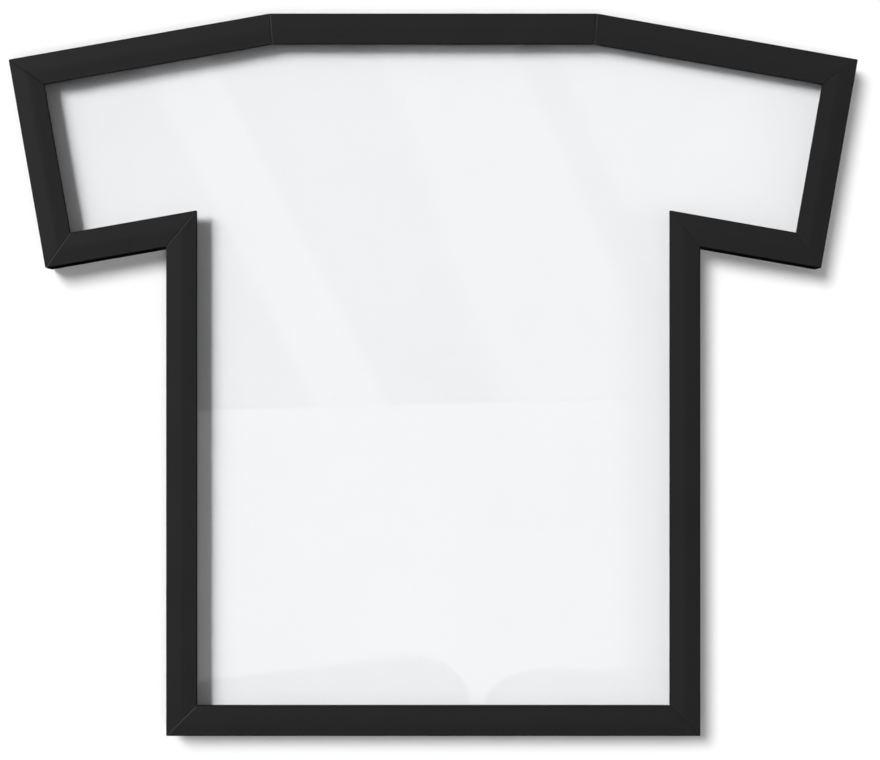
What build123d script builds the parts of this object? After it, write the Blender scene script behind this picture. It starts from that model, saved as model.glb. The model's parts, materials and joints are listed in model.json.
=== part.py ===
from build123d import *
import math
import os

# Shirt-shaped display frame: a shallow box of ten mitred mouldings round a clear front,
# with a white board behind it and a back board that lifts out of the rear.
# X runs to the right, Z up, and the front looks along -Y.
# The origin lies on the wall, midway between the two hanging rings, where the wall hooks bear.

os.makedirs("parts", exist_ok=True)

# ---- outline, measured over the outside of the mouldings ----
overall_width = 830.0
overall_height = 706.0
neck_width = 320.0
body_width = 522.0
cuff_length = 207.0
sleeve_slope = 10.0

# ---- moulding section: across is from the outer edge inwards, depth from the front backwards ----
moulding_width = 30.0
moulding_depth = 28.0
wall_thickness = 22.0
lip_depth = 4.0
ridge_across = 15.6
edge_drop = 0.8
ridge_radius = 45.0
outer_edge_radius = 0.5
sight_edge_radius = 0.5
back_edge_radius = 0.7
lip_back_radius = 0.4
mitre_reach = 5.0

# ---- stack held in the rabbet, front to back ----
sheet_clearance = 1.0
glazing_thickness = 2.0
spacer_height = 8.0
spacer_thickness = 3.0
spacer_clearance = 0.2
shirt_board_thickness = 5.0
pad_thickness = 1.0
pad_size = 25.0
back_board_thickness = 3.0

# ---- flexible retaining tabs ----
tab_thickness = 0.6
tab_width = 8.0
tab_reach = 12.0
tab_root = 6.0
tab_corner = 2.0

# ---- V-shaped nails across the mitres ----
nail_leg = 6.0
nail_thickness = 0.5
nail_height = 10.0
nail_across = (9.0, 17.0)

# ---- hanging rings on the top rail ----
hanger_spacing = 240.0
ring_wire = 2.0
ring_width = 14.8
ring_height = 10.5
ring_foot_radius = 2.4
ring_head_radius = 4.6
ring_below_top = 1.0
ring_play = 0.05
strap_width = 9.6
strap_sheet = 0.8
strap_drop = 8.7
screw_drop = 5.2
screw_shank = 3.0
screw_length = 14.0
screw_head = 6.0
screw_head_height = 1.9
screw_slot = 1.0
screw_play = 0.02

# ---- wall bumpers ----
bumper_diameter = 12.0
bumper_height = 4.0
bumper_edge = 0.6
bumper_inset = 26.0

total_depth = moulding_depth + bumper_height
slope = math.radians(sleeve_slope)

# Depths from the front of the mouldings to the front of each layer
glazing_front = lip_depth
spacer_front = glazing_front + glazing_thickness
board_front = spacer_front + spacer_height
pad_front = board_front + shirt_board_thickness
back_board_front = pad_front + pad_thickness
tab_front = back_board_front + back_board_thickness

# Ring axis: the strap's eye rolls against the back of the rail
eye_bore = ring_wire / 2 + ring_play
eye_radius = eye_bore + strap_sheet
ring_axis_y = -bumper_height + eye_radius

# Height of the outline's top edge above the line of the wall hooks
top_z = ring_wire + ring_below_top
ring_axis_z = top_z - ring_below_top - ring_wire / 2 - ring_height

EDGE_NAMES = (
    "top",
    "left_shoulder",
    "left_cuff",
    "left_underarm",
    "left_side",
    "bottom",
    "right_side",
    "right_underarm",
    "right_cuff",
    "right_shoulder",
)


def outline_corners():
    """The ten outer corners, anticlockwise as seen from the front, from the neck's right end."""
    half_neck = neck_width / 2
    half_body = body_width / 2
    tip_x = overall_width / 2
    tip_z = top_z - (tip_x - half_neck) * math.tan(slope)
    cuff_x = tip_x - cuff_length * math.sin(slope)
    cuff_z = tip_z - cuff_length * math.cos(slope)
    armpit_z = cuff_z + (cuff_x - half_body) * math.tan(slope)
    foot_z = top_z - overall_height
    right = [
        (half_neck, top_z),
        (tip_x, tip_z),
        (cuff_x, cuff_z),
        (half_body, armpit_z),
        (half_body, foot_z),
    ]
    left = [(-x, z) for x, z in right]
    return [right[0]] + left + right[:0:-1]


CORNERS = outline_corners()


def edge_direction(index):
    """Unit vector along edge `index`, in X and Z."""
    x0, z0 = CORNERS[index]
    x1, z1 = CORNERS[(index + 1) % len(CORNERS)]
    length = math.hypot(x1 - x0, z1 - z0)
    return (x1 - x0) / length, (z1 - z0) / length


def inward_normal(index):
    along_x, along_z = edge_direction(index)
    return -along_z, along_x


def mitre_point(index, across):
    """Where corner `index` goes when both its edges move inwards by `across`."""
    before = inward_normal(index - 1)
    after = inward_normal(index)
    share = across / (1 + before[0] * after[0] + before[1] * after[1])
    x, z = CORNERS[index]
    return x + share * (before[0] + after[0]), z + share * (before[1] + after[1])


def edge_length(index):
    x0, z0 = CORNERS[index]
    x1, z1 = CORNERS[(index + 1) % len(CORNERS)]
    return math.hypot(x1 - x0, z1 - z0)


def slab(points, front, back):
    """A flat plate with this outline in X and Z, between two depths from the front."""
    plane = Plane.XZ.offset(total_depth - back)
    return extrude(plane * Polygon(*points, align=None), back - front, dir=(0, -1, 0))


def sheet(across, front, thickness):
    """A shirt-shaped sheet whose edge lies `across` inside the outline."""
    points = [mitre_point(index, across) for index in range(len(CORNERS))]
    return slab(points, front, front + thickness)


def edge_plane(index, along=0.5):
    """Section plane at a fraction of an edge: local x is across, local y is depth."""
    along_x, along_z = edge_direction(index)
    normal_x, normal_z = inward_normal(index)
    x, z = CORNERS[index]
    run = along * edge_length(index)
    origin = (x + run * along_x, -total_depth, z + run * along_z)
    return Plane(origin=origin, x_dir=(normal_x, 0, normal_z), z_dir=(-along_x, 0, -along_z))


def mitred_bar(index, profile, reach):
    """The profile run along an edge and cut on the mitre at both ends."""
    following = (index + 1) % len(CORNERS)
    overshoot = edge_length(index) / 2 + 2 * moulding_width
    bar = extrude(edge_plane(index) * profile, overshoot, both=True)
    trim = [
        mitre_point(index, -reach),
        mitre_point(following, -reach),
        mitre_point(following, moulding_width + reach),
        mitre_point(index, moulding_width + reach),
    ]
    return bar & slab(trim, -reach, moulding_depth + reach)


def rounded(face, across, depth, radius):
    corner = face.vertices().sort_by_distance((across, depth))[0]
    return fillet(corner, radius)


def rail_profile():
    """Shallow two-faced front, thin lip over a deep rabbet, thick outer wall."""
    face = Polygon(
        (0, edge_drop),
        (ridge_across, 0),
        (moulding_width, edge_drop),
        (moulding_width, lip_depth),
        (wall_thickness, lip_depth),
        (wall_thickness, moulding_depth),
        (0, moulding_depth),
        align=None,
    )
    face = rounded(face, ridge_across, 0, ridge_radius)
    face = rounded(face, 0, edge_drop, outer_edge_radius)
    face = rounded(face, moulding_width, edge_drop, sight_edge_radius)
    face = rounded(face, moulding_width, lip_depth, lip_back_radius)
    face = rounded(face, 0, moulding_depth, back_edge_radius)
    return rounded(face, wall_thickness, moulding_depth, back_edge_radius)


def spacer_profile():
    near = wall_thickness + spacer_clearance
    far = near + spacer_thickness
    front = spacer_front
    back = spacer_front + spacer_height
    return Polygon((near, front), (far, front), (far, back), (near, back), align=None)


def nail_outline(index, across):
    """A V lying across mitre `index`, its point towards the opening."""
    inner_x, inner_z = mitre_point(index, moulding_width)
    x, z = CORNERS[index]
    bisector = math.atan2(inner_z - z, inner_x - x)
    tip_x, tip_z = mitre_point(index, across)
    gap = nail_thickness * math.sqrt(2)
    leg = nail_leg / math.sqrt(2)
    shape = ((0, 0), (-leg, leg), (-leg - gap, leg), (-gap, 0), (-leg - gap, -leg), (-leg, -leg))
    cos_b = math.cos(bisector)
    sin_b = math.sin(bisector)
    return [(tip_x + u * cos_b - v * sin_b, tip_z + u * sin_b + v * cos_b) for u, v in shape]


def v_nails():
    nails = []
    for index in range(len(CORNERS)):
        for across in nail_across:
            outline = nail_outline(index, across)
            nails.append(slab(outline, moulding_depth - nail_height, moulding_depth))
    return nails


def tab_places():
    """(edge, fraction along it) of every retaining tab."""
    per_edge = {"side": 3, "bottom": 3, "top": 2, "shoulder": 2, "cuff": 1, "underarm": 1}
    places = []
    for index, name in enumerate(EDGE_NAMES):
        count = per_edge[name.split("_")[-1]]
        for number in range(count):
            places.append((index, (number + 0.5) / count))
    return places


def tab_blank(index, along, tip, round_tip):
    """A flat strip across the rabbet wall, from its root in the wall to `tip` across."""
    plane = edge_plane(index, along)
    root = wall_thickness - tab_root
    centre = ((root + tip) / 2, tab_front + tab_thickness / 2, 0)
    blank = Pos(*centre) * Box(tip - root, tab_thickness, tab_width)
    if round_tip:
        corners = blank.edges().filter_by(Axis.Y).group_by(Axis.X)[-1]
        blank = fillet(corners, tab_corner)
    return plane.location * blank


def retaining_tabs():
    tip = wall_thickness + tab_reach
    return [tab_blank(index, along, tip, True) for index, along in tab_places()]


def hanger_x(side):
    return side * hanger_spacing / 2


def hanger_strap(side):
    """Folded strap: an eye round the ring's straight side, and two layers down to the screw."""
    x = hanger_x(side)
    eye = Cylinder(eye_radius, strap_width)
    layers = Box(strap_width, 2 * strap_sheet, strap_drop, align=(Align.CENTER, Align.MIN, Align.MAX))
    foot = layers.edges().filter_by(Axis.Y).group_by(Axis.Z)[0]
    layers = fillet(foot, strap_width / 2 - 0.4)
    strap = Pos(x, ring_axis_y, ring_axis_z) * Rot(0, 90, 0) * eye
    strap += Pos(x, -bumper_height, ring_axis_z) * layers
    strap -= Pos(x, ring_axis_y, ring_axis_z) * Rot(0, 90, 0) * Cylinder(eye_bore, 2 * strap_width)
    hole_radius = screw_shank / 2 + screw_play
    hole = Cylinder(hole_radius, 4 * moulding_depth)
    return strap - Pos(x, 0, ring_axis_z - screw_drop) * Rot(90, 0, 0) * hole


def hanger_ring(side):
    """Rounded wire ring standing up from the strap's eye."""
    half = ring_width / 2
    path = FilletPolyline(
        (half, 0),
        (half, ring_height),
        (-half, ring_height),
        (-half, 0),
        radius=(ring_foot_radius, ring_head_radius, ring_head_radius, ring_foot_radius),
        close=True,
    )
    place = Plane(origin=(hanger_x(side), ring_axis_y, ring_axis_z), x_dir=(1, 0, 0), z_dir=(0, -1, 0))
    path = place * path
    start = Plane(origin=path @ 0, z_dir=path % 0)
    return sweep(start * Circle(ring_wire / 2), path=path)


def hanger_screw(side):
    """Round-headed screw through the strap into the rail, with a slotted head."""
    under_head = -bumper_height + 2 * strap_sheet
    head_radius = screw_head / 2
    profile = Polyline(
        (0, under_head + screw_head_height),
        (0, under_head - screw_length),
        (screw_shank / 4, under_head - screw_length + 2),
        (screw_shank / 2, under_head - screw_length + 4),
        (screw_shank / 2, under_head),
        (head_radius, under_head),
        (head_radius, under_head + 0.5),
    )
    dome = ThreePointArc(
        (head_radius, under_head + 0.5),
        (head_radius * 0.7, under_head + 0.8 * screw_head_height),
        (0, under_head + screw_head_height),
    )
    screw = revolve(make_face(profile + dome), Axis.Y)
    slot_height = screw_head_height / 2
    slot = Pos(0, under_head + screw_head_height, 0) * Box(screw_head, 2 * slot_height, screw_slot)
    screw -= slot
    return Pos(hanger_x(side), 0, ring_axis_z - screw_drop) * screw


def bumper_centres():
    """Two on the foot of the frame and one at the end of each cuff."""
    bottom = EDGE_NAMES.index("bottom")
    places = []
    for corner, edge, reverse in (
        (bottom, bottom, 1),
        (bottom + 1, bottom, -1),
        (EDGE_NAMES.index("left_cuff") + 1, EDGE_NAMES.index("left_cuff"), -1),
        (EDGE_NAMES.index("right_cuff"), EDGE_NAMES.index("right_cuff"), 1),
    ):
        along_x, along_z = edge_direction(edge)
        normal_x, normal_z = inward_normal(edge)
        x, z = CORNERS[corner]
        across = wall_thickness / 2
        run = reverse * (bumper_inset + across)
        places.append((x + run * along_x + across * normal_x, z + run * along_z + across * normal_z))
    return places


def wall_bumpers():
    bumpers = []
    for x, z in bumper_centres():
        disc = Cylinder(bumper_diameter / 2, bumper_height)
        disc = chamfer(disc.edges().group_by(Axis.Z)[-1], bumper_edge)
        bumpers.append(Pos(x, -bumper_height / 2, z) * Rot(-90, 0, 0) * disc)
    return bumpers


def board_pads():
    """Squares of hook-and-loop tape joining the shirt board to the back board."""
    foot_z = top_z - overall_height
    body_rows = [foot_z + overall_height * share for share in (0.13, 0.38, 0.63, 0.88)]
    centres = [(side * body_width * 0.3, z) for z in body_rows for side in (-1, 1)]
    sleeve_x = overall_width * 0.38
    sleeve_z = top_z - overall_height * 0.2
    centres += [(-sleeve_x, sleeve_z), (sleeve_x, sleeve_z)]
    half = pad_size / 2
    pads = []
    for x, z in centres:
        corners = ((x - half, z - half), (x + half, z - half), (x + half, z + half), (x - half, z + half))
        pads.append(slab(corners, pad_front, back_board_front))
    return pads


def rail(index, profile, fittings):
    """One moulding, with pockets for the nails, tabs and screws that enter it."""
    bar = mitred_bar(index, profile, mitre_reach)
    for fitting in fittings:
        bar -= fitting
    return bar


def screw_bore(side):
    hole = Cylinder(screw_shank / 2 + screw_play, 2 * screw_length)
    return Pos(hanger_x(side), -bumper_height, ring_axis_z - screw_drop) * Rot(90, 0, 0) * hole


def near_edge(index, solid):
    """True where a fitting's centre lies over this edge's moulding or within reach of its mitres."""
    centre = solid.bounding_box().center()
    x0, z0 = CORNERS[index]
    along_x, along_z = edge_direction(index)
    normal_x, normal_z = inward_normal(index)
    run = (centre.X - x0) * along_x + (centre.Z - z0) * along_z
    across = (centre.X - x0) * normal_x + (centre.Z - z0) * normal_z
    inside = -moulding_width < run < edge_length(index) + moulding_width
    return inside and -moulding_width < across < 2 * moulding_width


def write(name, solids):
    shape = solids[0] if len(solids) == 1 else Compound(children=solids)
    export_step(shape, "parts/" + name + ".step")


def main():
    nails = v_nails()
    slots = [tab_blank(index, along, wall_thickness + 1, False) for index, along in tab_places()]
    bores = [screw_bore(-1), screw_bore(1)]
    profile = rail_profile()
    for index, name in enumerate(EDGE_NAMES):
        fittings = [solid for solid in nails + slots if near_edge(index, solid)]
        fittings += bores if name == "top" else []
        write(name + "_rail", [rail(index, profile, fittings)])
        write(name + "_spacer", [mitred_bar(index, spacer_profile(), mitre_reach)])
    sheet_edge = wall_thickness + sheet_clearance
    write("front_glazing", [sheet(sheet_edge, glazing_front, glazing_thickness)])
    write("shirt_board", [sheet(sheet_edge, board_front, shirt_board_thickness)])
    write("hook_and_loop_pads", board_pads())
    write("back_board", [sheet(sheet_edge, back_board_front, back_board_thickness)])
    write("retaining_tabs", retaining_tabs())
    write("corner_v_nails", nails)
    for side, word in ((-1, "left"), (1, "right")):
        write(word + "_hanger_strap", [hanger_strap(side)])
        write(word + "_hanger_ring", [hanger_ring(side)])
    write("hanger_screws", [hanger_screw(-1), hanger_screw(1)])
    write("wall_bumpers", wall_bumpers())


main()
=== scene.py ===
import json
import math

import bmesh
import bpy
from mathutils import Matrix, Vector

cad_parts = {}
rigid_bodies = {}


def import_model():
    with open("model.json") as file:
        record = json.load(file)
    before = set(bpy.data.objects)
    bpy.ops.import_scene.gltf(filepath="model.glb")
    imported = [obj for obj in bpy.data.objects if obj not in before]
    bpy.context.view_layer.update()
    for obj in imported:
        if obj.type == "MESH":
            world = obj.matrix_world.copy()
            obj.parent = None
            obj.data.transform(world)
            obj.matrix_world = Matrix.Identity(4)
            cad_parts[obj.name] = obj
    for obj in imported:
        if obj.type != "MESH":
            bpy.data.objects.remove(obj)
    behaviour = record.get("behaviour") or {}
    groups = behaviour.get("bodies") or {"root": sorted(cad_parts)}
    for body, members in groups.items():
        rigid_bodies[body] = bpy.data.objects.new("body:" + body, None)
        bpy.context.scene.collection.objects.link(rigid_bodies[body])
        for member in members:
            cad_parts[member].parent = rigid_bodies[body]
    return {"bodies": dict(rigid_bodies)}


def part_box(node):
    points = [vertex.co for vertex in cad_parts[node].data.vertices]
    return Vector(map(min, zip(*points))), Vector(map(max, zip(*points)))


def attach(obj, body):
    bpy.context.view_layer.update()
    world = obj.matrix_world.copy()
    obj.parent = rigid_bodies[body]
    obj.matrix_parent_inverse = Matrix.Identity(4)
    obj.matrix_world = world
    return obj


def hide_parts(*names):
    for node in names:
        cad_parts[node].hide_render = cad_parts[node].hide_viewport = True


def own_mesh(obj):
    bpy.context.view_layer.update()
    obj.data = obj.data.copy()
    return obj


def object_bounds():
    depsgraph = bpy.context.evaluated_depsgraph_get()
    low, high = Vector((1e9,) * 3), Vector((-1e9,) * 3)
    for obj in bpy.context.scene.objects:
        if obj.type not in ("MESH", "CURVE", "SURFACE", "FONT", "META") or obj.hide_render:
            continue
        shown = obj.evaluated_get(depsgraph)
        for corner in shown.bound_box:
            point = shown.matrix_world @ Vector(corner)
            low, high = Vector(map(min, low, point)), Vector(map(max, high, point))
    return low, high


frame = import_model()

cad_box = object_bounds()

# A shirt-shaped display case: ten satin black mouldings round a clear sheet, with a white board
# set back behind it. X is to the right, +Y goes into the wall, Z is up; lengths are in metres.

MM = 0.001

# ---- the outline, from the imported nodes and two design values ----
SLEEVE_SLOPE = math.radians(10)
CUFF_LENGTH = 207 * MM
HALF_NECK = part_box("top_rail")[1].x
HALF_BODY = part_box("bottom_rail")[1].x
HALF_WIDTH = cad_box[1].x
TOP = cad_box[1].z
FOOT = cad_box[0].z
FRONT = cad_box[0].y
RAIL_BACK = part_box("bottom_rail")[1].y

# ---- the moulding's section ----
MOULDING_WIDTH = 30 * MM
MOULDING_DEPTH = 28 * MM
WALL_THICKNESS = 22 * MM
LIP_DEPTH = 4 * MM
RIDGE_ACROSS = 15.6 * MM
EDGE_DROP = 0.8 * MM
# (set in from the section, distance from the mitre) down the chamfer at each mitre
SEAM_CHAMFER = ((0.32 * MM, 0), (0.3 * MM, 0.01 * MM), (0, 0.93 * MM))
PLAIN_END = ((0.1 * MM, 0), (0, 0.1 * MM))
SECTION_FRONT = RAIL_BACK - MOULDING_DEPTH

EDGE_NAMES = (
    "top",
    "left_shoulder",
    "left_cuff",
    "left_underarm",
    "left_side",
    "bottom",
    "right_side",
    "right_underarm",
    "right_cuff",
    "right_shoulder",
)


# ------------------------------------------------------------------ outline

def outline_corners():
    """The ten outer corners, anticlockwise as seen from the front, from the neck's right end."""
    tip_z = TOP - (HALF_WIDTH - HALF_NECK) * math.tan(SLEEVE_SLOPE)
    cuff_x = HALF_WIDTH - CUFF_LENGTH * math.sin(SLEEVE_SLOPE)
    cuff_z = tip_z - CUFF_LENGTH * math.cos(SLEEVE_SLOPE)
    armpit_z = cuff_z + (cuff_x - HALF_BODY) * math.tan(SLEEVE_SLOPE)
    right = [
        (HALF_NECK, TOP),
        (HALF_WIDTH, tip_z),
        (cuff_x, cuff_z),
        (HALF_BODY, armpit_z),
        (HALF_BODY, FOOT),
    ]
    left = [(-x, z) for x, z in right]
    return [right[0]] + left + right[:0:-1]


CORNERS = outline_corners()


def edge_length(index):
    x0, z0 = CORNERS[index]
    x1, z1 = CORNERS[(index + 1) % len(CORNERS)]
    return math.hypot(x1 - x0, z1 - z0)


def edge_direction(index):
    x0, z0 = CORNERS[index]
    x1, z1 = CORNERS[(index + 1) % len(CORNERS)]
    length = edge_length(index)
    return (x1 - x0) / length, (z1 - z0) / length


def inward_normal(index):
    along_x, along_z = edge_direction(index)
    return -along_z, along_x


def mitre_point(index, across):
    """Where a corner goes when both its edges move inwards by `across`."""
    index %= len(CORNERS)
    before = inward_normal(index - 1)
    after = inward_normal(index)
    share = across / (1 + before[0] * after[0] + before[1] * after[1])
    x, z = CORNERS[index]
    return x + share * (before[0] + after[0]), z + share * (before[1] + after[1])


# ------------------------------------------------------------------ mesh helpers

def piece_from(bm, name, materials, body, replaced, smooth_angle=None):
    """Turns a bmesh into a piece that rides on a body; sharper edges than the angle stay hard."""
    bmesh.ops.recalc_face_normals(bm, faces=bm.faces)
    mesh = bpy.data.meshes.new(name)
    bm.to_mesh(mesh)
    bm.free()
    for material in materials:
        mesh.materials.append(material)
    if smooth_angle is not None:
        mesh.shade_smooth()
        mesh.set_sharp_from_angle(angle=math.radians(smooth_angle))
    piece = bpy.data.objects.new(name, mesh)
    bpy.context.scene.collection.objects.link(piece)
    if smooth_angle is not None:
        weighted = piece.modifiers.new("flat faces stay flat", "WEIGHTED_NORMAL")
        weighted.keep_sharp = True
        weighted.weight = 100
    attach(piece, body)
    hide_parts(*replaced)
    return piece


def rounded_section(corners):
    """Points round a closed section; each corner is (across, depth, radius, segments)."""
    points = []
    count = len(corners)
    for number, (u, d, radius, segments) in enumerate(corners):
        here = Vector((u, d))
        before = (Vector(corners[number - 1][:2]) - here).normalized()
        after = (Vector(corners[(number + 1) % count][:2]) - here).normalized()
        half = before.angle(after) / 2
        centre = here + (before + after).normalized() * (radius / math.sin(half))
        start = here + before * (radius / math.tan(half)) - centre
        end = here + after * (radius / math.tan(half)) - centre
        turn = math.atan2(start.cross(end), start.dot(end))
        for step in range(segments + 1):
            angle = turn * step / segments
            cos_a = math.cos(angle)
            sin_a = math.sin(angle)
            spoke = Vector((start.x * cos_a - start.y * sin_a, start.x * sin_a + start.y * cos_a))
            points.append(centre + spoke)
    return points


def inset_section(points, inset):
    """The same section with every point moved inside it."""
    moved = []
    count = len(points)
    area = sum(points[k].cross(points[(k + 1) % count]) for k in range(count))
    side = 1 if area > 0 else -1
    for k, point in enumerate(points):
        before = (point - points[k - 1]).normalized()
        after = (points[(k + 1) % count] - point).normalized()
        tangent = (before + after).normalized()
        moved.append(point + Vector((-tangent.y, tangent.x)) * inset * side)
    return moved


def mitred_bar(index, section, chamfer):
    """A bar along one edge, mitred at both ends, its end edges chamfered."""
    bm = bmesh.new()
    uv = bm.loops.layers.uv.new("length and girth")
    along_x, along_z = edge_direction(index)
    ends = [(index, 1, station) for station in chamfer]
    ends += [(index + 1, -1, station) for station in reversed(chamfer)]
    rings = []
    for corner, way, (inset, run) in ends:
        ring = []
        for point in inset_section(section, inset):
            x, z = mitre_point(corner, point.x)
            place = (x + way * run * along_x, SECTION_FRONT + point.y, z + way * run * along_z)
            ring.append(bm.verts.new(place))
        rings.append(ring)
    girth = [0.0]
    count = len(section)
    for k in range(count):
        girth.append(girth[-1] + (section[(k + 1) % count] - section[k]).length)
    x0, z0 = CORNERS[index]
    for first, second in zip(rings, rings[1:]):
        for k in range(count):
            following = (k + 1) % count
            corners = (first[k], second[k], second[following], first[following])
            face = bm.faces.new(corners)
            for loop, height in zip(face.loops, (girth[k], girth[k], girth[k + 1], girth[k + 1])):
                run = (loop.vert.co.x - x0) * along_x + (loop.vert.co.z - z0) * along_z
                loop[uv].uv = (run, height)
    bm.faces.new(rings[0])
    bm.faces.new(reversed(rings[-1]))
    return bm


def sheet_mesh(layers):
    """A shirt-shaped sheet; each layer is (across, depth), front to back. Rims get material 1."""
    bm = bmesh.new()
    rings = []
    for across, depth in layers:
        ring = []
        for index in range(len(CORNERS)):
            x, z = mitre_point(index, across)
            ring.append(bm.verts.new((x, SECTION_FRONT + depth, z)))
        rings.append(ring)
    for first, second in zip(rings, rings[1:]):
        for k in range(len(CORNERS)):
            following = (k + 1) % len(CORNERS)
            face = bm.faces.new((first[k], first[following], second[following], second[k]))
            face.material_index = 1
    bm.faces.new(rings[0])
    bm.faces.new(rings[-1])
    return bm


def lathe(bm, profile, centre, segments=40):
    """Turns (radius, y) points about the Y axis through `centre`; a zero radius makes a pole."""
    rings = []
    for radius, y in profile:
        if radius == 0:
            rings.append([bm.verts.new((centre[0], y, centre[1]))])
            continue
        ring = []
        for k in range(segments):
            angle = 2 * math.pi * k / segments
            place = (centre[0] + radius * math.cos(angle), y, centre[1] + radius * math.sin(angle))
            ring.append(bm.verts.new(place))
        rings.append(ring)
    for first, second in zip(rings, rings[1:]):
        for k in range(segments):
            following = (k + 1) % segments
            if len(first) == 1:
                bm.faces.new((first[0], second[following], second[k]))
            elif len(second) == 1:
                bm.faces.new((first[k], first[following], second[0]))
            else:
                bm.faces.new((first[k], first[following], second[following], second[k]))


def prism(bm, outline, low_y, high_y, rim=0.0):
    """A plate with this (x, z) outline between two y values, the rims of its flats rounded in."""
    count = len(outline)
    centre = Vector((sum(p[0] for p in outline) / count, sum(p[1] for p in outline) / count))
    rings = []
    for y, inset in ((low_y, rim), (low_y + rim, 0), (high_y - rim, 0), (high_y, rim)):
        ring = []
        for point in outline:
            spoke = Vector(point) - centre
            x, z = centre + spoke * (1 - inset / max(spoke.length, rim + MM))
            ring.append(bm.verts.new((x, y, z)))
        rings.append(ring)
    for first, second in zip(rings, rings[1:]):
        for k in range(count):
            following = (k + 1) % count
            bm.faces.new((first[k], first[following], second[following], second[k]))
    bm.faces.new(rings[0])
    bm.faces.new(rings[-1])


# ------------------------------------------------------------------ materials

class Recipe:
    """A Principled material with short calls for the nodes behind it."""

    def __init__(self, name, colour, roughness, metallic=0.0, specular=0.5):
        self.material = bpy.data.materials.new(name)
        self.material.use_nodes = True
        self.nodes = self.material.node_tree.nodes
        self.links = self.material.node_tree.links
        self.shader = self.nodes["Principled BSDF"]
        self.set("Base Color", (*colour, 1))
        self.set("Roughness", roughness)
        self.set("Metallic", metallic)
        self.set("Specular IOR Level", specular)
        self.last_normal = None

    def set(self, socket, value):
        if isinstance(value, bpy.types.NodeSocket):
            self.links.new(value, self.shader.inputs[socket])
        else:
            self.shader.inputs[socket].default_value = value

    def node(self, kind, inputs=(), **settings):
        node = self.nodes.new(kind)
        for key, value in settings.items():
            setattr(node, key, value)
        for key, value in dict(inputs).items():
            if isinstance(value, bpy.types.NodeSocket):
                self.links.new(value, node.inputs[key])
            else:
                node.inputs[key].default_value = value
        return node

    def place(self, scale=(1, 1, 1), turn=0.0, source="Object"):
        """Texture coordinates in metres, turned in the front's plane, then stretched by `scale`."""
        coords = self.node("ShaderNodeTexCoord").outputs[source]
        turned = self.node("ShaderNodeMapping", {"Vector": coords, "Rotation": (0, turn, 0)})
        stretch = {"Vector": turned.outputs["Vector"], "Scale": scale}
        return self.node("ShaderNodeMapping", stretch).outputs["Vector"]

    def noise(self, vector, scale, detail=3.0, rough=0.5):
        inputs = {"Vector": vector, "Scale": scale, "Detail": detail, "Roughness": rough}
        return self.node("ShaderNodeTexNoise", inputs).outputs["Fac"]

    def cells(self, vector, scale, feature="F1"):
        inputs = {"Vector": vector, "Scale": scale}
        return self.node("ShaderNodeTexVoronoi", inputs, feature=feature).outputs["Distance"]

    def span(self, value, low, high, new_low, new_high):
        """Maps low..high onto new_low..new_high, clamped."""
        inputs = {0: value, 1: low, 2: high, 3: new_low, 4: new_high}
        return self.node("ShaderNodeMapRange", inputs, clamp=True).outputs["Result"]

    def line(self, value, middle, reach):
        """1 at `middle`, falling to 0 `reach` away."""
        away = self.maths("ABSOLUTE", self.maths("SUBTRACT", value, middle))
        return self.span(away, 0.3 * reach, reach, 1, 0)

    def maths(self, operation, first, second=0.0):
        return self.node("ShaderNodeMath", {0: first, 1: second}, operation=operation).outputs[0]

    def overlay(self, share, under, over):
        """Colour `over` laid on `under` by share; `under` may be a colour or a colour socket."""
        if not isinstance(under, bpy.types.NodeSocket):
            under = (*under, 1)
        # A colour mix takes its colours at sockets 6 and 7, and gives the result at 2.
        inputs = {0: share, 6: under, 7: (*over, 1)}
        return self.node("ShaderNodeMix", inputs, data_type="RGBA").outputs[2]

    def relief(self, height, distance, strength=1.0):
        """Adds one layer of bump, `distance` metres high."""
        inputs = {"Height": height, "Distance": distance, "Strength": strength}
        if self.last_normal is not None:
            inputs["Normal"] = self.last_normal
        self.last_normal = self.node("ShaderNodeBump", inputs).outputs["Normal"]
        self.set("Normal", self.last_normal)


def grey(level):
    return (level, level, level)


def moulding_material():
    """Satin black skin: faint lengthwise drawing lines, fine orange peel, slow sheen changes, and
    painted shade along the arrises.
    """
    m = Recipe("satin_black_moulding", grey(0.0142), 0.5, specular=0.08)
    drawn = m.noise(m.place((9, 900, 1), source="UV"), 1, 4, 0.6)
    slow = m.noise(m.place(), 14, 3, 0.55)
    peel = m.noise(m.place(), 900, 2, 0.5)
    skin = m.overlay(m.span(slow, 0.3, 0.7, 0, 1), grey(0.0135), grey(0.0149))
    # Painted shade: a dark line along the arrises at the outer edge and at the lip, by distance
    # round the section, where their rounding turns from the light.
    girth = m.node("ShaderNodeSeparateXYZ", {"Vector": m.place(source="UV")}).outputs["Y"]
    reach = 0.9 * MM
    painted_arris_shade = m.maths("ADD", m.line(girth, 0.4 * MM, reach), m.line(girth, 30.2 * MM, reach))
    m.set("Base Color", m.overlay(painted_arris_shade, skin, grey(0.004)))
    slow_sheen = m.span(slow, 0.3, 0.7, -0.025, 0.025)
    sheen = m.maths("ADD", slow_sheen, m.span(drawn, 0.35, 0.65, -0.02, 0.02))
    scuffs = m.cells(m.place(turn=0.5), 55, "DISTANCE_TO_EDGE")
    patch = m.span(m.noise(m.place(), 23, 2), 0.56, 0.66, 0, 1)
    marks = m.maths("MULTIPLY", m.span(scuffs, 0.0, 0.012, 1, 0), patch)
    roughness = m.maths("ADD", m.maths("ADD", sheen, 0.5), m.maths("MULTIPLY", marks, 0.08))
    m.set("Roughness", roughness)
    m.relief(m.noise(m.place(), 30, 2), 0.06 * MM, 0.5)
    m.relief(peel, 0.012 * MM, 0.6)
    m.relief(drawn, 0.006 * MM, 0.6)
    return m.material


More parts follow.
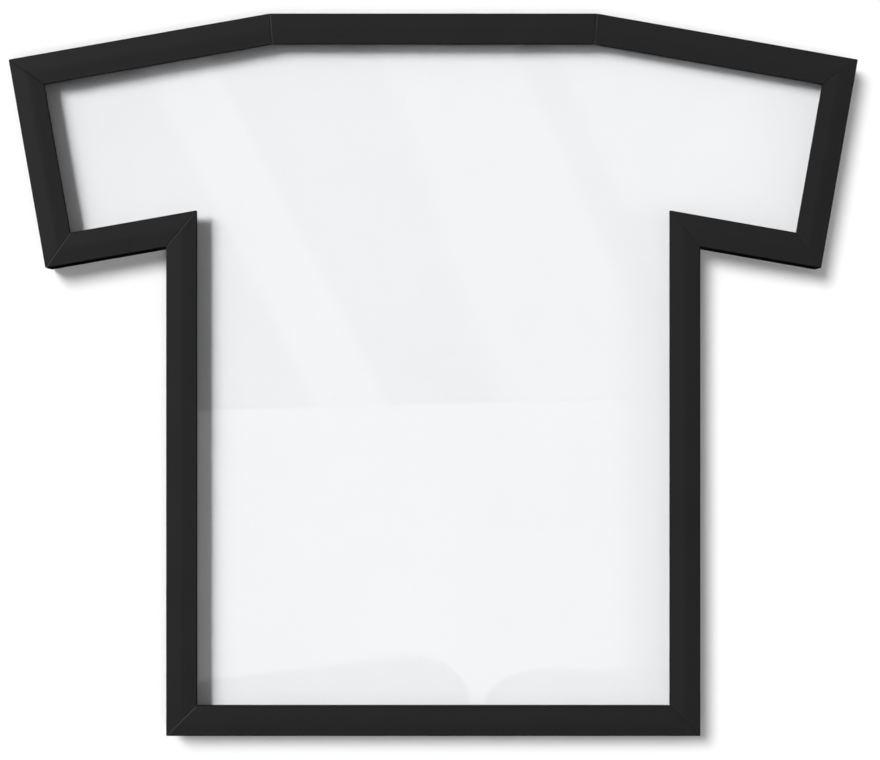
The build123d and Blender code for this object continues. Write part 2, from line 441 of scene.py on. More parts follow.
def board_material():
    """White paper facing: cool white, faint fibre and the slight unevenness of a laid sheet."""
    m = Recipe("white_board_face", (0.823, 0.825, 0.838), 0.62, specular=0.3)
    fibre = m.noise(m.place((1, 1, 2.2)), 700, 5, 0.65)
    cloud = m.noise(m.place(), 7, 3, 0.5)
    clouded = m.span(cloud, 0.3, 0.7, 0, 1)
    paper = m.overlay(clouded, (0.817, 0.818, 0.832), (0.829, 0.83, 0.844))
    fibrous = m.span(fibre, 0.52, 0.75, 0, 0.25)
    m.set("Base Color", m.overlay(fibrous, paper, (0.796, 0.797, 0.81)))
    m.set("Roughness", m.span(fibre, 0.3, 0.7, 0.56, 0.7))
    m.relief(fibre, 0.02 * MM, 0.4)
    m.relief(cloud, 0.4 * MM, 0.25)
    return m.material


def foam_material(name, light, dark):
    """Cut foam: fine closed cells."""
    m = Recipe(name, light, 0.8, specular=0.2)
    cell = m.cells(m.place(), 1500)
    m.set("Base Color", m.overlay(m.span(cell, 0.1, 0.6, 0, 1), light, dark))
    m.set("Roughness", m.span(cell, 0.1, 0.6, 0.7, 0.9))
    m.relief(cell, 0.12 * MM, 0.7)
    return m.material


def hardboard_material():
    """Brown hardboard: short pale and dark fibres lying every way, with a rubbed sheen."""
    m = Recipe("brown_hardboard", (0.2, 0.12, 0.065), 0.55, specular=0.35)
    speck = m.noise(m.place(), 420, 6, 0.75)
    cloud = m.noise(m.place(), 5, 4, 0.55)
    clouded = m.span(cloud, 0.3, 0.7, 0, 1)
    colour = m.overlay(clouded, (0.165, 0.098, 0.052), (0.215, 0.13, 0.071))
    colour = m.overlay(m.span(speck, 0.5, 0.75, 0, 0.45), colour, (0.085, 0.045, 0.022))
    fibres = speck
    for number, turn in enumerate((0.2, 0.95, 1.6, 2.3, 2.85)):
        strand = m.noise(m.place((1500, 150, 170 + 20 * number), turn), 1, 2, 0.5)
        shade = (0.1, 0.055, 0.028) if number % 2 else (0.29, 0.185, 0.105)
        colour = m.overlay(m.span(strand, 0.62, 0.72, 0, 0.4), colour, shade)
        fibres = m.maths("MAXIMUM", fibres, strand)
    m.set("Base Color", colour)
    m.set("Roughness", m.span(speck, 0.3, 0.7, 0.46, 0.66))
    m.relief(fibres, 0.06 * MM, 0.5)
    return m.material


def steel_material(name, colour, roughness, spangle):
    """Plated steel: brushing one way, faint spangle and dull spots."""
    m = Recipe(name, colour, roughness, metallic=1.0)
    brush = m.noise(m.place((4000, 700, 500)), 1, 3, 0.6)
    patch = m.noise(m.place(), spangle, 3, 0.6)
    darker = tuple(0.78 * c for c in colour)
    m.set("Base Color", m.overlay(m.span(patch, 0.35, 0.65, 0, 1), colour, darker))
    dulled = m.span(patch, 0.3, 0.7, roughness, roughness + 0.12)
    m.set("Roughness", m.maths("ADD", m.span(brush, 0.3, 0.7, -0.05, 0.08), dulled))
    m.relief(brush, 0.008 * MM, 0.6)
    return m.material


def rubber_material():
    """Dull rubber with a little pale dust on it."""
    rubber = (0.02, 0.02, 0.021)
    m = Recipe("grey_black_rubber", rubber, 0.62, specular=0.35)
    grain = m.noise(m.place(), 1800, 3, 0.6)
    dust = m.noise(m.place(), 420, 4, 0.7)
    m.set("Base Color", m.overlay(m.span(dust, 0.55, 0.8, 0, 1), rubber, (0.06, 0.058, 0.055)))
    m.set("Roughness", m.span(grain, 0.3, 0.7, 0.55, 0.75))
    m.relief(grain, 0.03 * MM, 0.7)
    return m.material


def felt_material():
    """White hook-and-loop tape: a mat of tiny loops."""
    m = Recipe("white_hook_and_loop", (0.78, 0.78, 0.76), 0.95, specular=0.1)
    loops = m.cells(m.place(), 1300)
    between = m.span(loops, 0.1, 0.7, 0, 1)
    m.set("Base Color", m.overlay(between, (0.82, 0.82, 0.8), (0.55, 0.55, 0.53)))
    m.relief(loops, 0.3 * MM, 1.0)
    m.set("Sheen Weight", 0.3)
    return m.material


def clear_material():
    """Clear acrylic: see-through, with a mirror reflection that grows towards grazing angles."""
    m = Recipe("clear_acrylic", (0.9, 0.92, 0.92), 0.03)
    facing = m.node("ShaderNodeLayerWeight", {"Blend": 0.5}).outputs["Facing"]
    grazing = m.maths("POWER", facing, 5.0)
    square_on = 0.04
    mirror = m.maths("ADD", m.maths("MULTIPLY", grazing, 1 - square_on), square_on)
    smear = m.noise(m.place((1, 1, 0.6), 0.5), 9, 4, 0.6)
    clear = m.node("ShaderNodeBsdfTransparent", {"Color": (0.996, 0.997, 0.997, 1)})
    polish = m.span(smear, 0.4, 0.7, 0.02, 0.045)
    gloss = m.node("ShaderNodeBsdfGlossy", {"Color": (1, 1, 1, 1), "Roughness": polish})
    mixed = m.node("ShaderNodeMixShader", {0: mirror, 1: clear.outputs[0], 2: gloss.outputs[0]})
    output = m.nodes["Material Output"]
    m.links.new(mixed.outputs[0], output.inputs["Surface"])
    m.nodes.remove(m.shader)
    return m.material


def acrylic_edge_material():
    """The sheet's sawn edge: paler, with fine lines across it."""
    m = Recipe("acrylic_edge", (0.55, 0.62, 0.63), 0.25)
    saw = m.noise(m.place((1, 6000, 1)), 1, 3)
    sawn = m.span(saw, 0.3, 0.7, 0, 1)
    m.set("Base Color", m.overlay(sawn, (0.5, 0.58, 0.6), (0.66, 0.73, 0.74)))
    m.set("Roughness", m.span(saw, 0.3, 0.7, 0.2, 0.45))
    m.relief(saw, 0.02 * MM, 0.5)
    return m.material


MOULDING = moulding_material()
BOARD = board_material()
FOAM = foam_material("white_foam_edge", (0.84, 0.84, 0.83), (0.66, 0.66, 0.65))
BLACK_FOAM = foam_material("black_foam_spacer", (0.03, 0.03, 0.031), (0.014, 0.014, 0.014))
HARDBOARD = hardboard_material()
CLEAR = clear_material()
CLEAR_EDGE = acrylic_edge_material()
FELT = felt_material()
RUBBER = rubber_material()
TAB_STEEL = steel_material("tab_steel", (0.5, 0.5, 0.51), 0.34, 160)
NAIL_STEEL = steel_material("nail_steel", (0.4, 0.4, 0.41), 0.4, 300)
PLATE_STEEL = steel_material("hanger_plate_steel", (0.62, 0.62, 0.63), 0.27, 220)
WIRE_STEEL = steel_material("hanger_wire_steel", (0.66, 0.66, 0.67), 0.2, 400)
SCREW_STEEL = steel_material("screw_steel", (0.62, 0.56, 0.42), 0.28, 400)


# ------------------------------------------------------------------ mouldings and spacers

def moulding_section():
    """Two shallow faces meeting in a soft ridge, a thin lip, and the wall behind it."""
    return rounded_section([
        (0, EDGE_DROP, 0.5 * MM, 7),
        (RIDGE_ACROSS, 0, 45 * MM, 10),
        (MOULDING_WIDTH, EDGE_DROP, 0.5 * MM, 7),
        (MOULDING_WIDTH, LIP_DEPTH, 0.4 * MM, 6),
        (WALL_THICKNESS, LIP_DEPTH, 0.4 * MM, 6),
        (WALL_THICKNESS, MOULDING_DEPTH, 0.7 * MM, 6),
        (0, MOULDING_DEPTH, 0.7 * MM, 6),
    ])


def depth_of(node):
    """A node's front and back, measured back from the section's front."""
    low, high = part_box(node)
    return low.y - SECTION_FRONT, high.y - SECTION_FRONT


def spacer_section(node):
    """A plain strip beside the rabbet wall, as deep as its node."""
    clearance = 0.2 * MM
    width = 3 * MM
    front, back = depth_of(node)
    near = WALL_THICKNESS + clearance
    far = near + width
    soft = 0.25 * MM
    return rounded_section([
        (near, front, soft, 2),
        (far, front, soft, 2),
        (far, back, soft, 2),
        (near, back, soft, 2),
    ])


def make_mouldings():
    section = moulding_section()
    for index, name in enumerate(EDGE_NAMES):
        bar = mitred_bar(index, section, SEAM_CHAMFER)
        piece_from(bar, name + "_moulding", [MOULDING], "frame", [name + "_rail"], 17)
        spacer = name + "_spacer"
        strip = mitred_bar(index, spacer_section(spacer), PLAIN_END)
        piece_from(strip, spacer + "_strip", [BLACK_FOAM], "frame", [spacer], 40)


# ------------------------------------------------------------------ sheets

def plain_layers(node, edge, arris):
    """A sheet as deep as its node, its arrises taken off."""
    front, back = depth_of(node)
    return [
        (edge + arris, front),
        (edge, front + arris),
        (edge, back - arris),
        (edge + arris, back),
    ]


def faced_layers(node, edge):
    """Foam between two paper facings, the foam set in a little from their edges."""
    front, back = depth_of(node)
    facing = 0.4 * MM
    sunk = 0.25 * MM
    arris = 0.1 * MM
    return [
        (edge + arris, front),
        (edge, front + arris),
        (edge, front + facing),
        (edge + sunk, front + facing + arris),
        (edge + sunk, back - facing - arris),
        (edge, back - facing),
        (edge, back - arris),
        (edge + arris, back),
    ]


def make_sheets():
    """The clear front, the white board and the back board, 1 mm clear of the rabbet wall."""
    edge = WALL_THICKNESS + 1 * MM
    for name, layers, materials, body, slot, node in (
        ("clear_front", plain_layers("front_glazing", edge, 0.15 * MM), [CLEAR, CLEAR_EDGE],
         "frame", "glazing", "front_glazing"),
        ("white_shirt_board", faced_layers("shirt_board", edge), [BOARD, FOAM],
         "back_panel", "shirt_board", "shirt_board"),
        ("hardboard_back", plain_layers("back_board", edge, 0.3 * MM), [HARDBOARD, HARDBOARD],
         "back_panel", "back_board", "back_board"),
    ):
        piece_from(sheet_mesh(layers), name, materials, body, [node])


# ------------------------------------------------------------------ tabs and nails

def tab_places():
    """(edge, fraction along it) of every retaining tab, as in the design."""
    per_edge = {"side": 3, "bottom": 3, "top": 2, "shoulder": 2, "cuff": 1, "underarm": 1}
    for index, name in enumerate(EDGE_NAMES):
        count = per_edge[name.split("_")[-1]]
        yield index, [(number + 0.5) / count for number in range(count)]


def tab_outline(index, along):
    """A tongue from the rabbet wall, its tip rounded."""
    half = 4 * MM
    root = WALL_THICKNESS - 1 * MM
    tip = WALL_THICKNESS + 12 * MM
    radius = 2.6 * MM
    steps = 6
    shape = [(root, -half), (tip - radius, -half)]
    for step in range(1, steps):
        angle = math.radians(-90 + 90 * step / steps)
        u = tip - radius + radius * math.cos(angle)
        shape.append((u, -half + radius + radius * math.sin(angle)))
    shape += [(u, -v) for u, v in reversed(shape)]
    along_x, along_z = edge_direction(index)
    normal_x, normal_z = inward_normal(index)
    x, z = CORNERS[index]
    run = along * edge_length(index)
    return [
        (x + (run + v) * along_x + u * normal_x, z + (run + v) * along_z + u * normal_z)
        for u, v in shape
    ]


def make_tabs():
    low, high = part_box("retaining_tabs")
    for index, fractions in tab_places():
        bm = bmesh.new()
        for along in fractions:
            prism(bm, tab_outline(index, along), low.y, high.y, 0.12 * MM)
        name = EDGE_NAMES[index] + "_tabs"
        piece = piece_from(bm, name, [TAB_STEEL], "frame", ["retaining_tabs"])
        x, z = mitre_point(index, WALL_THICKNESS)
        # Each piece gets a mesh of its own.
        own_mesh(piece)


def make_nails():
    """V-shaped nails across the backs of the mitres, standing a hair proud."""
    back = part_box("corner_v_nails")[1].y
    leg = 6 * MM / math.sqrt(2)
    gap = 0.5 * MM * math.sqrt(2)
    sunk = 1 * MM
    proud = 0.05 * MM
    shape = ((0, 0), (-leg, leg), (-leg - gap, leg), (-gap, 0), (-leg - gap, -leg), (-leg, -leg))
    bm = bmesh.new()
    for index in range(len(CORNERS)):
        inner_x, inner_z = mitre_point(index, MOULDING_WIDTH)
        x, z = CORNERS[index]
        bisector = math.atan2(inner_z - z, inner_x - x)
        cos_b = math.cos(bisector)
        sin_b = math.sin(bisector)
        for across in (9 * MM, 17 * MM):
            tip_x, tip_z = mitre_point(index, across)
            rings = []
            for y in (back - sunk, back + proud):
                ring = []
                for u, v in shape:
                    place = (tip_x + u * cos_b - v * sin_b, y, tip_z + u * sin_b + v * cos_b)
                    ring.append(bm.verts.new(place))
                rings.append(ring)
            for k in range(len(shape)):
                following = (k + 1) % len(shape)
                bm.faces.new((rings[0][k], rings[0][following], rings[1][following], rings[1][k]))
            bm.faces.new(rings[0])
            bm.faces.new(rings[1])
    piece_from(bm, "v_nails", [NAIL_STEEL], "frame", ["corner_v_nails"])


# ------------------------------------------------------------------ pads and bumpers

def make_pads():
    """Two-layer squares between the boards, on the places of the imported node."""
    low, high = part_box("hook_and_loop_pads")
    half = 12.5 * MM
    inset = 2 * MM
    rounding = 1.5 * MM
    offset = 0.4 * MM
    rows = [FOOT + (TOP - FOOT) * share for share in (0.13, 0.38, 0.63, 0.88)]
    centres = [(side * HALF_BODY * 0.6, z) for z in rows for side in (-1, 1)]
    sleeve_z = TOP - (TOP - FOOT) * 0.2
    centres += [(side * HALF_WIDTH * 0.76, sleeve_z) for side in (-1, 1)]
    middle = (low.y + high.y) / 2
    reach = (half - inset) * math.sqrt(2)
    bm = bmesh.new()
    for x, z in centres:
        for low_y, high_y, slip in ((low.y, middle, offset), (middle, high.y, -offset)):
            outline = []
            for corner in range(4):
                base = math.radians(90 * corner + 45)
                corner_x = x + slip + reach * math.cos(base)
                corner_z = z + reach * math.sin(base)
                for step in range(4):
                    angle = math.radians(90 * corner + 30 * step)
                    point_x = corner_x + rounding * math.cos(angle)
                    outline.append((point_x, corner_z + rounding * math.sin(angle)))
            prism(bm, outline, low_y, high_y, 0.1 * MM)
    replaced = ["hook_and_loop_pads"]
    piece_from(bm, "hook_and_loop_squares", [FELT], "back_panel", replaced)


def bumper_centres():
    """Two on the bottom moulding and one at the lower end of each cuff, as in the design."""
    inset = 26 * MM
    across = WALL_THICKNESS / 2
    bottom = EDGE_NAMES.index("bottom")
    left_cuff = EDGE_NAMES.index("left_cuff")
    right_cuff = EDGE_NAMES.index("right_cuff")
    for corner, edge, way in (
        (bottom, bottom, 1),
        (bottom + 1, bottom, -1),
        (left_cuff + 1, left_cuff, -1),
        (right_cuff, right_cuff, 1),
    ):
        along_x, along_z = edge_direction(edge)
        normal_x, normal_z = inward_normal(edge)
        x, z = CORNERS[corner]
        run = way * (inset + across)
        yield x + run * along_x + across * normal_x, z + run * along_z + across * normal_z


def make_bumpers():
    """Round rubber feet with a soft rim, the height of their node."""
    low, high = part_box("wall_bumpers")
    radius = 6 * MM
    rim = 2 * MM
    half_tall = (high.y - low.y) / 2
    steps = 6
    profile = [
        (0, low.y),
        (radius - 0.2 * MM, low.y),
        (radius, low.y + 0.3 * MM),
        (radius, low.y + half_tall),
    ]
    for step in range(1, steps + 1):
        angle = math.radians(90 * step / steps)
        across = radius - rim + rim * math.cos(angle)
        profile.append((across, low.y + half_tall + half_tall * math.sin(angle)))
    profile.append((0, high.y))
    bm = bmesh.new()
    for centre in bumper_centres():
        lathe(bm, profile, centre)
    piece_from(bm, "rubber_bumpers", [RUBBER], "frame", ["wall_bumpers"], 50)


# ------------------------------------------------------------------ hanging rings

WIRE = 1 * MM


def hanger_places():
    """(side word, x of its middle, y and z of the ring's axis)."""
    for word in ("left", "right"):
        low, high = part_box(word + "_hanger_ring")
        yield word, (low.x + high.x) / 2, (low.y + high.y) / 2, low.z + WIRE


def make_strap(word, x, axis_y, axis_z):
    """One strip folded round the ring's straight side, both layers running down to the screw."""
    low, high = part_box(word + "_hanger_strap")
    half_width = (high.x - low.x) / 2
    sheet = 0.8 * MM
    bend = WIRE + sheet / 2 + 0.05 * MM
    front_y = low.y + sheet / 2
    back_y = low.y + 1.5 * sheet
    # Steps up a layer, closer together at the rounded foot.
    shares = (0, 0.03, 0.08, 0.15, 0.25, 0.4, 0.6, 0.8)
    bend_steps = 14
    path = [Vector((front_y, low.z + share * (axis_z - low.z))) for share in shares]
    for step in range(bend_steps + 1):
        angle = math.radians(180 - 235 * step / bend_steps)
        path.append(Vector((axis_y + bend * math.cos(angle), axis_z + bend * math.sin(angle))))
    tuck = Vector((back_y, axis_z - 2.1 * MM))
    path.append((path[-1] + tuck) / 2 + Vector((0.05 * MM, 0)))
    path.append(tuck)
    path += [Vector((back_y, low.z + share * (tuck.y - low.z))) for share in reversed(shares)]
    bm = bmesh.new()
    rings = []
    rounding = half_width - 0.4 * MM
    for k, point in enumerate(path):
        before = path[max(k - 1, 0)]
        after = path[min(k + 1, len(path) - 1)]
        tangent = (after - before).normalized()
        across = Vector((-tangent.y, tangent.x)) * sheet / 2
        lift = min(point.y - low.z, rounding)
        half = half_width - rounding + math.sqrt(max(rounding ** 2 - (rounding - lift) ** 2, 0))
        half = max(half, 1.2 * MM)
        ring = []
        for side, off in ((-1, -1), (1, -1), (1, 1), (-1, 1)):
            y = point.x + off * across.x
            z = point.y + off * across.y
            ring.append(bm.verts.new((x + side * half, y, z)))
        rings.append(ring)
    for first, second in zip(rings, rings[1:]):
        for k in range(4):
            following = (k + 1) % 4
            bm.faces.new((first[k], first[following], second[following], second[k]))
    bm.faces.new(rings[0])
    bm.faces.new(rings[-1])
    name = word + "_folded_strap"
    replaced = [word + "_hanger_strap"]
    piece = piece_from(bm, name, [PLATE_STEEL], "frame", replaced, 35)
    rim = piece.modifiers.new("rounded rims", "BEVEL")
    rim.width = 0.12 * MM
    rim.segments = 2
    rim.limit_method = "ANGLE"
    rim.angle_limit = math.radians(50)


def make_ring(word, x, axis_y, axis_z):
    """Round wire bent to a rounded oblong, butted where the strap hides it."""
    low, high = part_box(word + "_hanger_ring")
    half = (high.x - low.x) / 2 - WIRE
    tall = high.z - low.z - 2 * WIRE
    tight = 2.4 * MM
    wide = 4.6 * MM
    corners = ((half, 0, tight), (half, tall, wide), (-half, tall, wide), (-half, 0, tight))
    path = rounded_section([(*corner, 10) for corner in corners])
    bm = bmesh.new()
    sides = 20
    rings = []
    count = len(path)
    for k, point in enumerate(path):
        tangent = (path[(k + 1) % count] - path[k - 1]).normalized()
        outward = Vector((tangent.y, -tangent.x))
        ring = []
        for side in range(sides):
            angle = 2 * math.pi * side / sides
            off = outward * WIRE * math.cos(angle)
            y = axis_y + WIRE * math.sin(angle)
            ring.append(bm.verts.new((x + point.x + off.x, y, axis_z + point.y + off.y)))
        rings.append(ring)
    for k in range(count):
        first = rings[k]
        second = rings[(k + 1) % count]
        for side in range(sides):
            following = (side + 1) % sides
            bm.faces.new((first[side], second[side], second[following], first[following]))
    name = word + "_wire_ring"
    replaced = [word + "_hanger_ring"]
    piece_from(bm, name, [WIRE_STEEL], word + "_ring", replaced, 60)


def make_screws():
    """Domed heads with a cross recess."""
    low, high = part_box("hanger_screws")
    bm = bmesh.new()
    head_z = (low.z + high.z) / 2
    under = high.y - 1.9 * MM + 0.03 * MM
    shank = 1.5 * MM
    tip = under - 6 * MM
    head = 3 * MM
    dome_foot = under + 0.45 * MM
    dome = 1.4 * MM
    steps = 8
    centres = [(place[1], head_z) for place in hanger_places()]
    profile = [
        (0, tip),
        (shank, tip),
        (shank, under),
        (2.9 * MM, under),
        (head, under + 0.1 * MM),
        (head, dome_foot),
    ]
    for step in range(1, steps):
        angle = math.radians(90 * step / steps)
        profile.append((head * math.cos(angle), dome_foot + dome * math.sin(angle)))
    profile.append((0, dome_foot + dome))
    for centre in centres:
        lathe(bm, profile, centre, 48)
    replaced = ["hanger_screws"]
    screws = piece_from(bm, "domed_screws", [SCREW_STEEL], "frame", replaced, 40)
    cutter_mesh = bmesh.new()
    slot_half_length = 2.0 * MM
    slot_half_width = 0.5 * MM
    for x, z in centres:
        for wide, tall in (
            (slot_half_length, slot_half_width),
            (slot_half_width, slot_half_length),
        ):
            outline = (
                (x - wide, z - tall),
                (x + wide, z - tall),
                (x + wide, z + tall),
                (x - wide, z + tall),
            )
            prism(cutter_mesh, outline, under + 0.9 * MM, under + 3 * MM)
    cutter_data = bpy.data.meshes.new("cross recess")
    bmesh.ops.recalc_face_normals(cutter_mesh, faces=cutter_mesh.faces)
    cutter_mesh.to_mesh(cutter_data)
    cutter_mesh.free()
    cutter = bpy.data.objects.new("cross recess", cutter_data)
    bpy.context.scene.collection.objects.link(cutter)
    recess = screws.modifiers.new("cross recess", "BOOLEAN")
    recess.operation = "DIFFERENCE"
    recess.object = cutter
    recess.use_self = True
    bpy.context.view_layer.update()
    evaluated = screws.evaluated_get(bpy.context.evaluated_depsgraph_get())
    finished = bpy.data.meshes.new_from_object(evaluated)
    screws.modifiers.clear()
    screws.data = finished
    bpy.data.objects.remove(cutter)


def make_hangers():
    for word, x, axis_y, axis_z in hanger_places():
        make_strap(word, x, axis_y, axis_z)
        make_ring(word, x, axis_y, axis_z)
    make_screws()


# ------------------------------------------------------------------ room, light and camera

def stage_plane(name, corners, material, uses, place=(0, 0, 0)):
    """A flat backdrop, seen only by the rays that `uses` names."""
    mesh = bpy.data.meshes.new(name)
    mesh.from_pydata(corners, [], [tuple(range(len(corners)))])
    mesh.materials.append(material)
    plane = bpy.data.objects.new(name, mesh)
    plane.location = place
    bpy.context.scene.collection.objects.link(plane)
    plane.visible_camera = "camera" in uses
    plane.visible_diffuse = "diffuse" in uses
    plane.visible_glossy = "glossy" in uses
    plane.visible_transmission = "transmission" in uses
    plane.visible_shadow = "shadow" in uses
    return plane


def upright(half_width, low, high, y=0.0):
    """Corners of a rectangle that stands facing the front."""
    return [
        (-half_width, y, low),
        (half_width, y, low),
        (half_width, y, high),
        (-half_width, y, high),
    ]


def wall_material():
    """Bright white wall, clear from behind so that the case's back can be seen."""
    m = Recipe("white_wall", (0.93, 0.93, 0.93), 0.9, specular=0.0)
    through = m.node("ShaderNodeBsdfTransparent")
    back = m.node("ShaderNodeNewGeometry").outputs["Backfacing"]
    mixed = m.node("ShaderNodeMixShader", {0: back, 1: m.shader.outputs[0], 2: through.outputs[0]})
    m.links.new(mixed.outputs[0], m.nodes["Material Output"].inputs["Surface"])
    return m.material


def plain_material(name, colour):
    return Recipe(name, colour, 0.8, specular=0.0).material


def make_wall_and_floor():
    """A wall just behind the case and a floor below it."""
    low = FOOT - 0.32
    corners = upright(2.2, low, TOP + 1.2, 1 * MM)
    wall = stage_plane("wall", corners, wall_material(), ("camera", "transmission"))
    # The wall gives way when the panel is taken out of the back.
    wall.parent = frame["bodies"]["back_panel"]
    half = 4.0
    ground = [(-half, -half, low), (half, -half, low), (half, half, low), (-half, half, low)]
    stage_plane("floor", ground, plain_material("pale_floor", (0.8, 0.8, 0.79)), ("camera",))
    # The wall under the sleeves, in deep shadow, as the mouldings' undersides reflect it.
    shade = plain_material("deep_shadow", (0.002, 0.002, 0.002))
    middle = (HALF_BODY + HALF_WIDTH) / 2
    for side in (-1, 1):
        place = (side * middle, 0.6 * MM, CORNERS[3][1])
        stage_plane("shade", upright(0.075, -0.09, 0.02), shade, ("glossy",), place)
    return wall


CAMERA_DISTANCE = 1.75
CAMERA_PLACE = (6.6 * MM, FRONT - CAMERA_DISTANCE, (TOP + FOOT) / 2 - 5.15 * MM)
VIEW_WIDTH = 0.8594
SENSOR = 36.0
CARD_DISTANCE = 3.0


class Glow(Recipe):
    """Light of uneven strength on a card; x and z are where it is met in the clear front."""

    def __init__(self, name, reach):
        super().__init__(name, (0, 0, 0), 1)
        spot = self.place((1 / reach, 1, 1 / reach))
        split = self.node("ShaderNodeSeparateXYZ", {"Vector": spot})
        self.x = split.outputs["X"]
        self.z = split.outputs["Z"]

    def along(self, slope):
        """A line's distance across, for lines that lean by `slope`."""
        return self.maths("ADD", self.x, self.maths("MULTIPLY", self.z, slope))

    def rise(self, value, start, end):
        """Softly from 0 at start to 1 at end."""
        inputs = {0: value, 1: start, 2: end, 3: 0, 4: 1}
        node = self.node("ShaderNodeMapRange", inputs, interpolation_type="SMOOTHSTEP")
        return node.outputs["Result"]

    def band(self, value, start, end, soft, strength):
        """`strength` between start and end, with soft sides."""
        entered = self.rise(value, start, start + soft)
        left = self.rise(value, end, end + soft)
        return self.maths("MULTIPLY", self.maths("SUBTRACT", entered, left), strength)

    def blend(self, share, first, second):
        return self.node("ShaderNodeMix", {0: share, 2: first, 3: second}).outputs[0]

    def finish(self, strength):
        """Makes the card shine with `strength`, and nothing else."""
        glow = self.node("ShaderNodeEmission", {"Strength": strength})
        self.links.new(glow.outputs[0], self.nodes["Material Output"].inputs["Surface"])
        self.nodes.remove(self.shader)
        return self.material


def studio_glow(reach):
    """A pale room behind the camera: bright low down, dimmer above, with slanting light on it."""
    g = Glow("studio_glow", reach)
    upper = g.maths("ADD", g.rise(g.x, -0.36, -0.2), 0.6)
    upper = g.maths("MULTIPLY", upper, 0.2)
    # A bright slanting band, a wide paler field right of it, and a darker band in that.
    upper = g.maths("ADD", upper, g.band(g.along(0.51), -0.138, -0.068, 0.008, 0.33))
    field = g.rise(g.along(0.34), 0.035, 0.07)
    upper = g.maths("ADD", upper, g.maths("MULTIPLY", field, 0.3))
    upper = g.maths("SUBTRACT", upper, g.band(g.along(0.45), 0.212, 0.25, 0.015, 0.28))
    lower = g.blend(g.rise(g.z, -0.3, -0.06), 0.86, 0.8)
    # The two halves meet a little below the middle, rising to the right, at a thin dark seam.
    line = g.maths("SUBTRACT", g.z, g.maths("MULTIPLY", g.x, 0.0255))
    whole = g.blend(g.rise(line, -0.0245, -0.022), lower, upper)
    seam = g.band(line, -0.0245, -0.0205, 0.001, -0.15)
    whole = g.maths("ADD", whole, seam)
    # It falls off towards the right, further out in the sleeve than in the body.
    sleeve = g.rise(g.z, 0.15, 0.185)
    body_fall = g.rise(g.x, 0.16, 0.215)
    sleeve_fall = g.rise(g.x, 0.29, 0.37)
    fall = g.blend(sleeve, body_fall, sleeve_fall)
    kept = g.maths("SUBTRACT", 1.0, g.maths("MULTIPLY", fall, 0.85))
    return g.finish(g.maths("MAXIMUM", g.maths("MULTIPLY", whole, kept), 0.0))


def hump_outline(start, shoulder, end, low, top_start, top_shoulder):
    """A dark rounded shape: a straight top, then a quarter oval down to `low`."""
    foot = low - 0.1
    steps = 12
    outline = [(start, foot), (start, top_start), (shoulder, top_shoulder)]
    for step in range(1, steps + 1):
        angle = math.radians(90 * step / steps)
        x = shoulder + (end - shoulder) * math.sin(angle)
        outline.append((x, low + (top_shoulder - low) * math.cos(angle)))
    outline.append((end, foot))
    return outline


def shape_glow(name, reach):
    """A card dimmer than the studio, and nearly dark at its right end."""
    g = Glow(name, reach)
    return g.finish(g.blend(g.rise(g.x, 0.16, 0.22), 0.2, 0.03))


def make_reflected_room():
    """What the clear front reflects; nothing else sees it."""
    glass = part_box("front_glazing")[0].y
    to_glass = glass - CAMERA_PLACE[1]
    studio = [(-0.62, -0.55), (0.62, -0.55), (0.62, 0.5), (-0.62, 0.5)]
    near_shape = hump_outline(-0.3, -0.028, 0.03, -0.318, -0.303, -0.2697)
    far_shape = hump_outline(0.3, 0.105, 0.044, -0.318, -0.288, -0.2824)
    for name, outline, in_front in (
        ("studio", studio, 0),
        ("near_shape", near_shape, 0.02),
        ("far_shape", far_shape, 0.02),
    ):
        distance = CARD_DISTANCE - in_front
        reach = 1 + distance / to_glass
        material = shape_glow(name, reach) if in_front else studio_glow(reach)
        corners = [(x * reach, 0, z * reach) for x, z in outline]
        place = (CAMERA_PLACE[0], glass - distance, CAMERA_PLACE[2])
        stage_plane(name, corners, material, ("glossy",), place)


def make_world():
    """Soft light all round, stronger from the right, from above and from behind; pale backdrop."""
    world = bpy.data.worlds.new("soft studio")
    bpy.context.scene.world = world
    world.use_nodes = True
    nodes = world.node_tree.nodes
    links = world.node_tree.links
    nodes.clear()

    def span(value, low, high, new_low, new_high):
        ramp = nodes.new("ShaderNodeMapRange")
        links.new(value, ramp.inputs[0])
        for socket, level in enumerate((low, high, new_low, new_high), 1):
            ramp.inputs[socket].default_value = level
        return ramp.outputs[0]

    coords = nodes.new("ShaderNodeTexCoord")
    aim = nodes.new("ShaderNodeVectorMath")
    aim.operation = "DOT_PRODUCT"
    links.new(coords.outputs["Generated"], aim.inputs[0])
    aim.inputs[1].default_value = (0.62, 0, 0.78)
    split = nodes.new("ShaderNodeSeparateXYZ")
    links.new(coords.outputs["Generated"], split.inputs[0])
    total = nodes.new("ShaderNodeMath")
    links.new(span(aim.outputs["Value"], -0.75, 0.75, 0.06, 0.322), total.inputs[0])
    links.new(span(split.outputs["Y"], 0.1, 0.9, 0, 0.45), total.inputs[1])
    soft = nodes.new("ShaderNodeBackground")
    links.new(total.outputs[0], soft.inputs["Strength"])
    pale = nodes.new("ShaderNodeBackground")
    pale.inputs["Color"].default_value = (0.86, 0.87, 0.88, 1)
    rays = nodes.new("ShaderNodeLightPath")
    mix = nodes.new("ShaderNodeMixShader")
    links.new(rays.outputs["Is Camera Ray"], mix.inputs[0])
    links.new(soft.outputs[0], mix.inputs[1])
    links.new(pale.outputs[0], mix.inputs[2])
    output = nodes.new("ShaderNodeOutputWorld")
    links.new(mix.outputs[0], output.inputs["Surface"])


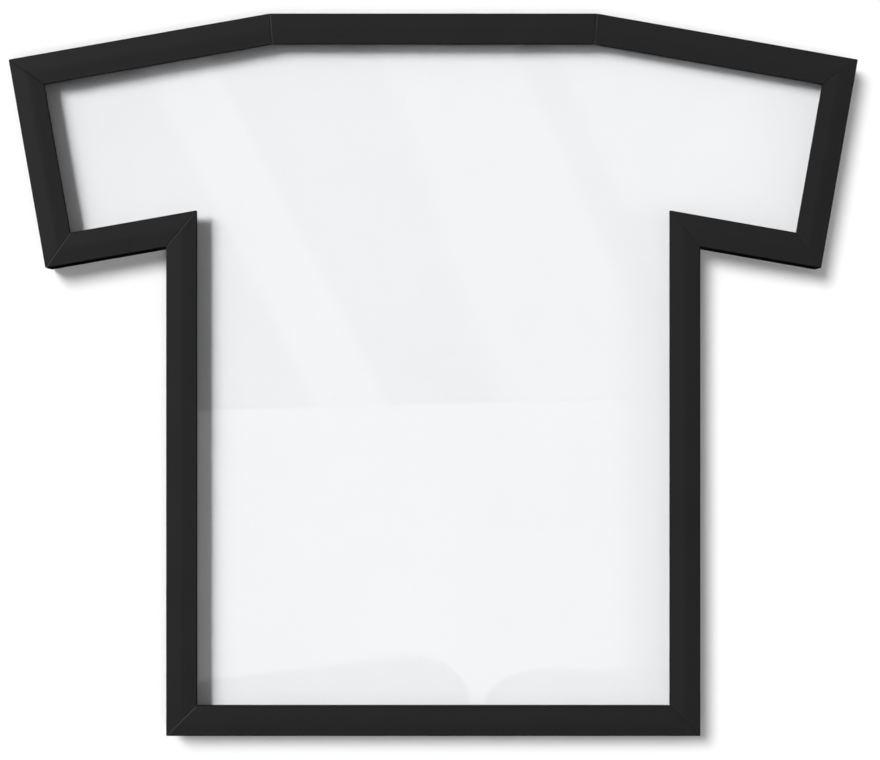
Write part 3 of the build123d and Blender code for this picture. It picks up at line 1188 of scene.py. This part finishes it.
def aimed_lamp(name, kind, energy, travel, place=(0, 0, 0)):
    """A lamp whose light travels along `travel`."""
    data = bpy.data.lights.new(name, kind)
    data.energy = energy
    lamp = bpy.data.objects.new(name, data)
    lamp.location = place
    lamp.rotation_mode = "QUATERNION"
    lamp.rotation_quaternion = Vector(travel).to_track_quat("-Z", "Y")
    bpy.context.scene.collection.objects.link(lamp)
    return lamp


def make_lights(wall):
    """Lights for the case, three for the wall alone, and one from behind; energies are in W/m2."""
    wall_only = bpy.data.collections.new("wall only")
    wall_only.objects.link(wall)
    but_wall = bpy.data.collections.new("all but the wall")
    for piece in bpy.context.scene.collection.all_objects:
        if piece.type == "MESH" and piece != wall:
            but_wall.objects.link(piece)
    # A narrow bank, then two shallower lights that soften the far side of the lip's shadow:
    # how far the light goes right and down for each metre back, its strength, its degrees wide.
    for across, down, light, angle in (
        (1.04, 0.1, 0.2, 8),
        (1.04, 0.42, 0.49, 8),
        (1.04, 0.56, 0.49, 8),
        (1.04, 0.98, 0.49, 8),
        (1.4, 0.66, 0.92, 14),
        (1.85, 0.86, 0.61, 18),
    ):
        travel = Vector((across, 1.0, -down))
        key = aimed_lamp("key", "SUN", light * travel.length, travel)
        key.data.angle = math.radians(angle)
        key.light_linking.receiver_collection = but_wall
    # The wash throws the wall's shadow; the fills leave the fainter one above and to the left.
    for name, energy, travel, angle in (
        ("wall wash", 2.9, (0.48, 1.0, -0.435), 25),
        ("wall fill left", 0.36, (-0.25, 1.0, 0.33), 14),
        ("wall fill right", 0.3, (0.15, 1.0, 0.36), 14),
    ):
        lamp = aimed_lamp(name, "SUN", energy, travel)
        lamp.data.angle = math.radians(angle)
        lamp.light_linking.receiver_collection = wall_only
    # The one lamp that is not a sun, in watts, for the back.
    place = Vector((-1.3, 2.2, 1.0))
    rear = aimed_lamp("rear", "AREA", 75, Vector((0, 0, -0.35)) - place, place)
    rear.data.size = 1.6


def make_camera():
    """Square on to the front, a little right of and below the middle."""
    data = bpy.data.cameras.new("camera")
    data.sensor_width = SENSOR
    data.lens = SENSOR * CAMERA_DISTANCE / VIEW_WIDTH
    camera = bpy.data.objects.new("camera", data)
    camera.location = CAMERA_PLACE
    camera.rotation_euler = (math.radians(90), 0, 0)
    bpy.context.scene.collection.objects.link(camera)
    bpy.context.scene.camera = camera
    bpy.context.scene.view_settings.view_transform = "Standard"


make_camera()
make_mouldings()
make_sheets()
make_tabs()
make_nails()
make_pads()
make_bumpers()
make_hangers()
make_reflected_room()
make_world()
make_lights(make_wall_and_floor())
